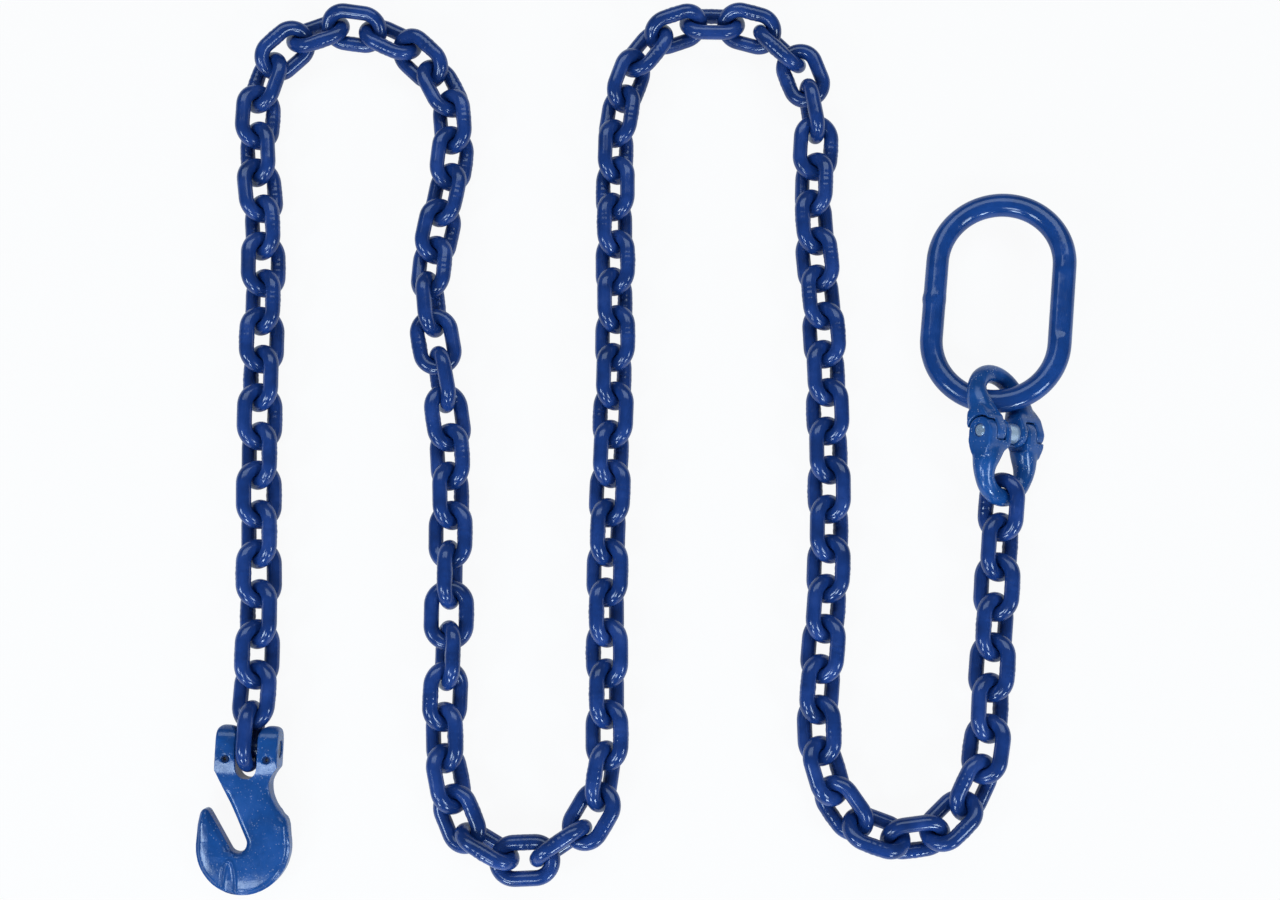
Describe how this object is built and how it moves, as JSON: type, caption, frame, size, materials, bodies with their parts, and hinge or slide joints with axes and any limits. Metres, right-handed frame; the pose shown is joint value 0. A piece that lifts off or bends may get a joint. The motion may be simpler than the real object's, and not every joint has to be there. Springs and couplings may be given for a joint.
{
  "type": "lifting chain with master link and grab hook",
  "caption": "Welded short-link lifting chain laid in loops, with an oblong master link on a hinged two-part coupling link at one end and a clevis grab hook at the other.",
  "frame": {"origin": "middle of the outline's bounding box, on the floor under the part", "axes": "+X to the right and +Y up in the picture, which was taken from above; +Z is up from the floor"},
  "size_m": [0.51, 0.5327, 0.0452],
  "materials": {
    "chain_paint": "gloss",
    "master_paint": "gloss",
    "fitting_paint": "gloss",
    "bright_steel": "satin",
    "dark_steel": "satin"
  },
  "bodies": {
    "master": {"master_link": "master_paint"},
    "coupling_upper": {"coupling_half_upper": "fitting_paint", "coupling_pin": "bright_steel", "coupling_bush": "bright_steel"},
    "coupling_lower": {"coupling_half_lower": "fitting_paint"},
    "links_101_102": {"chain_links_101_102": "chain_paint"},
    "links_099_100": {"chain_links_099_100": "chain_paint"},
    "links_097_098": {"chain_links_097_098": "chain_paint"},
    "links_095_096": {"chain_links_095_096": "chain_paint"},
    "links_093_094": {"chain_links_093_094": "chain_paint"},
    "links_091_092": {"chain_links_091_092": "chain_paint"},
    "links_089_090": {"chain_links_089_090": "chain_paint"},
    "links_087_088": {"chain_links_087_088": "chain_paint"},
    "links_085_086": {"chain_links_085_086": "chain_paint"},
    "links_083_084": {"chain_links_083_084": "chain_paint"},
    "links_081_082": {"chain_links_081_082": "chain_paint"},
    "links_079_080": {"chain_links_079_080": "chain_paint"},
    "links_077_078": {"chain_links_077_078": "chain_paint"},
    "links_075_076": {"chain_links_075_076": "chain_paint"},
    "links_073_074": {"chain_links_073_074": "chain_paint"},
    "links_071_072": {"chain_links_071_072": "chain_paint"},
    "links_069_070": {"chain_links_069_070": "chain_paint"},
    "links_067_068": {"chain_links_067_068": "chain_paint"},
    "links_065_066": {"chain_links_065_066": "chain_paint"},
    "links_063_064": {"chain_links_063_064": "chain_paint"},
    "links_061_062": {"chain_links_061_062": "chain_paint"},
    "links_059_060": {"chain_links_059_060": "chain_paint"},
    "links_057_058": {"chain_links_057_058": "chain_paint"},
    "links_055_056": {"chain_links_055_056": "chain_paint"},
    "links_053_054": {"chain_links_053_054": "chain_paint"},
    "links_051_052": {"chain_links_051_052": "chain_paint"},
    "links_049_050": {"chain_links_049_050": "chain_paint"},
    "links_047_048": {"chain_links_047_048": "chain_paint"},
    "links_045_046": {"chain_links_045_046": "chain_paint"},
    "links_043_044": {"chain_links_043_044": "chain_paint"},
    "links_041_042": {"chain_links_041_042": "chain_paint"},
    "links_039_040": {"chain_links_039_040": "chain_paint"},
    "links_037_038": {"chain_links_037_038": "chain_paint"},
    "links_035_036": {"chain_links_035_036": "chain_paint"},
    "links_033_034": {"chain_links_033_034": "chain_paint"},
    "links_031_032": {"chain_links_031_032": "chain_paint"},
    "links_029_030": {"chain_links_029_030": "chain_paint"},
    "links_027_028": {"chain_links_027_028": "chain_paint"},
    "links_025_026": {"chain_links_025_026": "chain_paint"},
    "links_023_024": {"chain_links_023_024": "chain_paint"},
    "links_021_022": {"chain_links_021_022": "chain_paint"},
    "links_019_020": {"chain_links_019_020": "chain_paint"},
    "links_017_018": {"chain_links_017_018": "chain_paint"},
    "links_015_016": {"chain_links_015_016": "chain_paint"},
    "links_013_014": {"chain_links_013_014": "chain_paint"},
    "links_011_012": {"chain_links_011_012": "chain_paint"},
    "links_009_010": {"chain_links_009_010": "chain_paint"},
    "links_007_008": {"chain_links_007_008": "chain_paint"},
    "links_005_006": {"chain_links_005_006": "chain_paint"},
    "links_003_004": {"chain_links_003_004": "chain_paint"},
    "links_001_002": {"chain_links_001_002": "chain_paint"},
    "hook": {"hook_body": "fitting_paint", "hook_load_pin": "dark_steel", "hook_spring_pins": "dark_steel"}
  },
  "joints": [
    {"name": "master_hinge", "type": "hinge", "parent": "master", "child": "coupling_upper", "pos_m": [0.20214, 0.01602, 0.01768], "axis": [-0.9727, 0.1037, -0.2078], "range_deg": [-10, 90]},
    {"name": "coupling_hinge", "type": "hinge", "parent": "coupling_upper", "child": "coupling_lower", "pos_m": [0.20987, -0.00386, 0.02299], "axis": [-0.7761, -0.0407, 0.6293], "range_deg": [-20, 65]},
    {"name": "hook_hinge", "type": "hinge", "parent": "links_001_002", "child": "hook", "pos_m": [-0.22519, -0.1841, 0.01423], "axis": [-0.9994, 0.0348, 0], "range_deg": [-27, 22]},
    {"name": "coupling_to_links", "type": "hinge", "parent": "coupling_lower", "child": "links_101_102", "pos_m": [0.20689, -0.04075, 0.01693], "axis": [-0.7761, -0.0407, 0.6293], "range_deg": [-75, 75]},
    {"name": "links_100_101_swing", "type": "hinge", "parent": "links_101_102", "child": "links_099_100", "pos_m": [0.20412, -0.08522, 0.01082], "axis": [0.757, 0.0024, -0.6534], "range_deg": [-75, 67.5]},
    {"name": "links_098_099_swing", "type": "hinge", "parent": "links_099_100", "child": "links_097_098", "pos_m": [0.20042, -0.12236, 0.01084], "axis": [-0.7507, 0.0773, -0.6561], "range_deg": [-75, 75]},
    {"name": "links_096_097_swing", "type": "hinge", "parent": "links_097_098", "child": "links_095_096", "pos_m": [0.19539, -0.17763, 0.01082], "axis": [-0.7526, 0.0569, 0.6561], "range_deg": [-52.5, 75]},
    {"name": "links_094_095_swing", "type": "hinge", "parent": "links_095_096", "child": "links_093_094", "pos_m": [0.18382, -0.21327, 0.01235], "axis": [-0.541, 0.5273, -0.6552], "range_deg": [-75, 22.5]},
    {"name": "links_092_093_swing", "type": "hinge", "parent": "links_093_094", "child": "links_091_092", "pos_m": [0.14465, -0.23659, 0.0131], "axis": [-0.2398, -0.7158, 0.6558], "range_deg": [-15, 75]},
    {"name": "links_090_091_swing", "type": "hinge", "parent": "links_091_092", "child": "links_089_090", "pos_m": [0.10652, -0.21232, 0.01254], "axis": [-0.7275, -0.2008, 0.656], "range_deg": [-22.5, 75]},
    {"name": "links_088_089_swing", "type": "hinge", "parent": "links_089_090", "child": "links_087_088", "pos_m": [0.09836, -0.1579, 0.01082], "axis": [0.7546, 0.0117, 0.6561], "range_deg": [-60, 75]},
    {"name": "links_086_087_swing", "type": "hinge", "parent": "links_087_088", "child": "links_085_086", "pos_m": [0.10239, -0.12079, 0.01082], "axis": [0.7514, -0.071, -0.6561], "range_deg": [-75, 75]},
    {"name": "links_084_085_swing", "type": "hinge", "parent": "links_085_086", "child": "links_083_084", "pos_m": [0.10622, -0.07455, 0.01082], "axis": [0.7545, -0.018, -0.6561], "range_deg": [-75, 75]},
    {"name": "links_082_083_swing", "type": "hinge", "parent": "links_083_084", "child": "links_081_082", "pos_m": [0.10715, -0.01905, 0.01087], "axis": [0.7547, -0.0066, 0.6561], "range_deg": [-75, 75]},
    {"name": "links_080_081_swing", "type": "hinge", "parent": "links_081_082", "child": "links_079_080", "pos_m": [0.10696, 0.01825, 0.01082], "axis": [-0.7545, -0.0168, 0.6561], "range_deg": [-75, 75]},
    {"name": "links_078_079_swing", "type": "hinge", "parent": "links_079_080", "child": "links_077_078", "pos_m": [0.10502, 0.07371, 0.01094], "axis": [-0.7538, -0.0362, -0.6561], "range_deg": [-75, 75]},
    {"name": "links_076_077_swing", "type": "hinge", "parent": "links_077_078", "child": "links_075_076", "pos_m": [0.1022, 0.11091, 0.01082], "axis": [-0.751, -0.0844, 0.6549], "range_deg": [-75, 75]},
    {"name": "links_074_075_swing", "type": "hinge", "parent": "links_075_076", "child": "links_073_074", "pos_m": [0.1016, 0.15721, 0.01207], "axis": [-0.9448, 0.0427, 0.3249], "range_deg": [0, 7.5]},
    {"name": "links_072_073_swing", "type": "hinge", "parent": "links_073_074", "child": "links_071_072", "pos_m": [0.09809, 0.21213, 0.0143], "axis": [-0.0516, -0.0086, -0.9986], "range_deg": [-7.5, 30]},
    {"name": "links_070_071_swing", "type": "hinge", "parent": "links_071_072", "child": "links_069_070", "pos_m": [0.07037, 0.24825, 0.0132], "axis": [-0.3181, -0.3239, 0.891], "range_deg": [-30, 7.5]},
    {"name": "links_068_069_swing", "type": "hinge", "parent": "links_069_070", "child": "links_067_068", "pos_m": [0.02477, 0.25424, 0.01092], "axis": [0.003, -0.7934, 0.6087], "range_deg": [-67.5, 15]},
    {"name": "links_066_067_swing", "type": "hinge", "parent": "links_067_068", "child": "links_065_066", "pos_m": [-0.00933, 0.22401, 0.01084], "axis": [0.5993, -0.4555, 0.6583], "range_deg": [-67.5, 75]},
    {"name": "links_064_065_swing", "type": "hinge", "parent": "links_065_066", "child": "links_063_064", "pos_m": [-0.01842, 0.17829, 0.01171], "axis": [-0.7296, 0.0943, -0.6774], "range_deg": [-75, 75]},
    {"name": "links_062_063_swing", "type": "hinge", "parent": "links_063_064", "child": "links_061_062", "pos_m": [-0.01867, 0.14096, 0.0122], "axis": [0.61, 0.0032, -0.7924], "range_deg": [-75, 75]},
    {"name": "links_060_061_swing", "type": "hinge", "parent": "links_061_062", "child": "links_059_060", "pos_m": [-0.01834, 0.08546, 0.01231], "axis": [-0.752, -0.0086, -0.6591], "range_deg": [-75, 75]},
    {"name": "links_058_059_swing", "type": "hinge", "parent": "links_059_060", "child": "links_057_058", "pos_m": [-0.01843, 0.04816, 0.01235], "axis": [-0.5901, 0.0141, 0.8072], "range_deg": [-75, 75]},
    {"name": "links_056_057_swing", "type": "hinge", "parent": "links_057_058", "child": "links_055_056", "pos_m": [-0.02007, -0.00731, 0.01245], "axis": [-0.7676, 0.0262, -0.6404], "range_deg": [-75, 75]},
    {"name": "links_054_055_swing", "type": "hinge", "parent": "links_055_056", "child": "links_053_054", "pos_m": [-0.02162, -0.04458, 0.0125], "axis": [0.57, -0.0159, -0.8215], "range_deg": [-75, 75]},
    {"name": "links_052_053_swing", "type": "hinge", "parent": "links_053_054", "child": "links_051_052", "pos_m": [-0.02275, -0.10007, 0.01253], "axis": [0.7835, -0.0068, 0.6213], "range_deg": [-75, 75]},
    {"name": "links_050_051_swing", "type": "hinge", "parent": "links_051_052", "child": "links_049_050", "pos_m": [-0.02251, -0.14647, 0.01265], "axis": [0.7911, 0.0077, 0.6116], "range_deg": [-75, 75]},
    {"name": "links_048_049_swing", "type": "hinge", "parent": "links_049_050", "child": "links_047_048", "pos_m": [-0.02223, -0.18376, 0.0132], "axis": [-0.4494, 0.0644, 0.891], "range_deg": [-75, 60]},
    {"name": "links_046_047_swing", "type": "hinge", "parent": "links_047_048", "child": "links_045_046", "pos_m": [-0.0393, -0.23546, 0.01477], "axis": [0.7858, -0.4659, 0.4067], "range_deg": [-75, 0]},
    {"name": "links_044_045_swing", "type": "hinge", "parent": "links_045_046", "child": "links_043_044", "pos_m": [-0.07547, -0.24638, 0.01376], "axis": [0.1628, 0.2819, -0.9455], "range_deg": [-75, 0]},
    {"name": "links_042_043_swing", "type": "hinge", "parent": "links_043_044", "child": "links_041_042", "pos_m": [-0.11185, -0.20842, 0.0109], "axis": [-0.8019, -0.3701, -0.4691], "range_deg": [-75, 22.5]},
    {"name": "links_040_041_swing", "type": "hinge", "parent": "links_041_042", "child": "links_039_040", "pos_m": [-0.11549, -0.16198, 0.01134], "axis": [0.7065, 0.0282, 0.7071], "range_deg": [-67.5, 75]},
    {"name": "links_038_039_swing", "type": "hinge", "parent": "links_039_040", "child": "links_037_038", "pos_m": [-0.11342, -0.12478, 0.01343], "axis": [0.9945, 0.0003, -0.1045], "range_deg": [-15, 15]},
    {"name": "links_036_037_swing", "type": "hinge", "parent": "links_037_038", "child": "links_035_036", "pos_m": [-0.11352, -0.06929, 0.01412], "axis": [-0.1908, -0.001, 0.9816], "range_deg": [-15, 15]},
    {"name": "links_034_035_swing", "type": "hinge", "parent": "links_035_036", "child": "links_033_034", "pos_m": [-0.11369, -0.03198, 0.01309], "axis": [0.7823, 0.104, 0.6142], "range_deg": [-75, 75]},
    {"name": "links_032_033_swing", "type": "hinge", "parent": "links_033_034", "child": "links_031_032", "pos_m": [-0.11922, 0.02297, 0.01385], "axis": [0.7805, 0.182, -0.5981], "range_deg": [-7.5, 22.5]},
    {"name": "links_030_031_swing", "type": "hinge", "parent": "links_031_032", "child": "links_029_030", "pos_m": [-0.12772, 0.06859, 0.01358], "axis": [-0.9822, -0.188, 0], "range_deg": [-22.5, 7.5]},
    {"name": "links_028_029_swing", "type": "hinge", "parent": "links_029_030", "child": "links_027_028", "pos_m": [-0.12801, 0.10573, 0.01125], "axis": [-0.7294, 0.1425, 0.6691], "range_deg": [-30, 60]},
    {"name": "links_026_027_swing", "type": "hinge", "parent": "links_027_028", "child": "links_025_026", "pos_m": [-0.11787, 0.16029, 0.01131], "axis": [-0.7358, 0.1461, -0.6613], "range_deg": [-60, 75]},
    {"name": "links_024_025_swing", "type": "hinge", "parent": "links_025_026", "child": "links_023_024", "pos_m": [-0.11678, 0.19804, 0.01063], "axis": [0.6837, 0.3553, -0.6374], "range_deg": [-15, 75]},
    {"name": "links_022_023_swing", "type": "hinge", "parent": "links_023_024", "child": "links_021_022", "pos_m": [-0.14956, 0.24198, 0.01227], "axis": [-0.5375, -0.5613, -0.6293], "range_deg": [-7.5, 75]},
    {"name": "links_020_021_swing", "type": "hinge", "parent": "links_021_022", "child": "links_019_020", "pos_m": [-0.18612, 0.25327, 0.01055], "axis": [-0.2677, 0.7296, -0.6293], "range_deg": [0, 75]},
    {"name": "links_018_019_swing", "type": "hinge", "parent": "links_019_020", "child": "links_017_018", "pos_m": [-0.23205, 0.22425, 0.01334], "axis": [-0.5344, 0.5644, 0.6292], "range_deg": [-75, 0]},
    {"name": "links_016_017_swing", "type": "hinge", "parent": "links_017_018", "child": "links_015_016", "pos_m": [-0.23643, 0.18631, 0.01095], "axis": [0.7406, 0.0616, 0.6691], "range_deg": [-75, 52.5]},
    {"name": "links_014_015_swing", "type": "hinge", "parent": "links_015_016", "child": "links_013_014", "pos_m": [-0.23168, 0.14016, 0.0112], "axis": [-0.7406, -0.061, -0.6691], "range_deg": [-75, 75]},
    {"name": "links_012_013_swing", "type": "hinge", "parent": "links_013_014", "child": "links_011_012", "pos_m": [-0.22866, 0.09387, 0.01106], "axis": [0.7431, 0.0099, 0.6691], "range_deg": [-75, 75]},
    {"name": "links_010_011_swing", "type": "hinge", "parent": "links_011_012", "child": "links_009_010", "pos_m": [-0.22804, 0.04747, 0.01095], "axis": [-0.7431, -0.0083, -0.6691], "range_deg": [-75, 75]},
    {"name": "links_008_009_swing", "type": "hinge", "parent": "links_009_010", "child": "links_007_008", "pos_m": [-0.22743, 0.00108, 0.01095], "axis": [-0.7428, -0.0228, -0.6691], "range_deg": [-75, 75]},
    {"name": "links_006_007_swing", "type": "hinge", "parent": "links_007_008", "child": "links_005_006", "pos_m": [-0.22589, -0.0453, 0.01095], "axis": [0.7425, 0.0298, 0.6691], "range_deg": [-75, 75]},
    {"name": "links_004_005_swing", "type": "hinge", "parent": "links_005_006", "child": "links_003_004", "pos_m": [-0.22373, -0.10076, 0.01095], "axis": [-0.7426, -0.0283, 0.6691], "range_deg": [-75, 75]},
    {"name": "links_002_003_swing", "type": "hinge", "parent": "links_003_004", "child": "links_001_002", "pos_m": [-0.22349, -0.13805, 0.01133], "axis": [0.8837, 0.0243, 0.4675], "range_deg": [-15, 22.5]}
  ]
}
